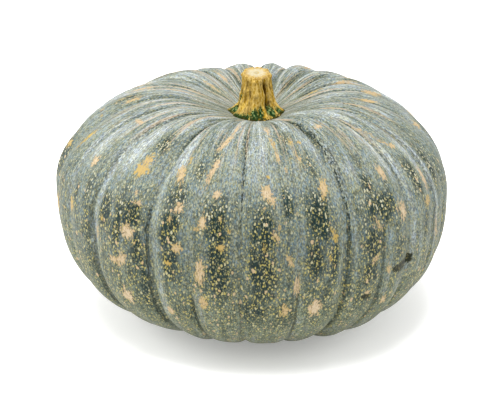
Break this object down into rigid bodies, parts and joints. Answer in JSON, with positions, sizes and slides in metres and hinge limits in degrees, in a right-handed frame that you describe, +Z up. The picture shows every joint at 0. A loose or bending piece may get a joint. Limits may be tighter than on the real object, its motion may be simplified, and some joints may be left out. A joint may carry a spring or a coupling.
{
  "type": "kabocha squash",
  "caption": "Whole kabocha squash: flattened, ribbed fruit with a deep top hollow and a short cut, fluted stalk, resting on its underside.",
  "frame": {"origin": "middle of the bounding box, on the surface that the squash rests on", "axes": "+Z up, along the stalk; -Y is the side that faces the camera in the picture; +X to the right"},
  "size_m": [0.219, 0.2192, 0.1414],
  "materials": {
    "rind": "matte grey-green rind with tan flecks and splashes",
    "stalk": "dry, corky, fluted"
  },
  "bodies": {
    "root": {"fruit": "rind", "stem": "stalk"}
  },
  "joints": []
}
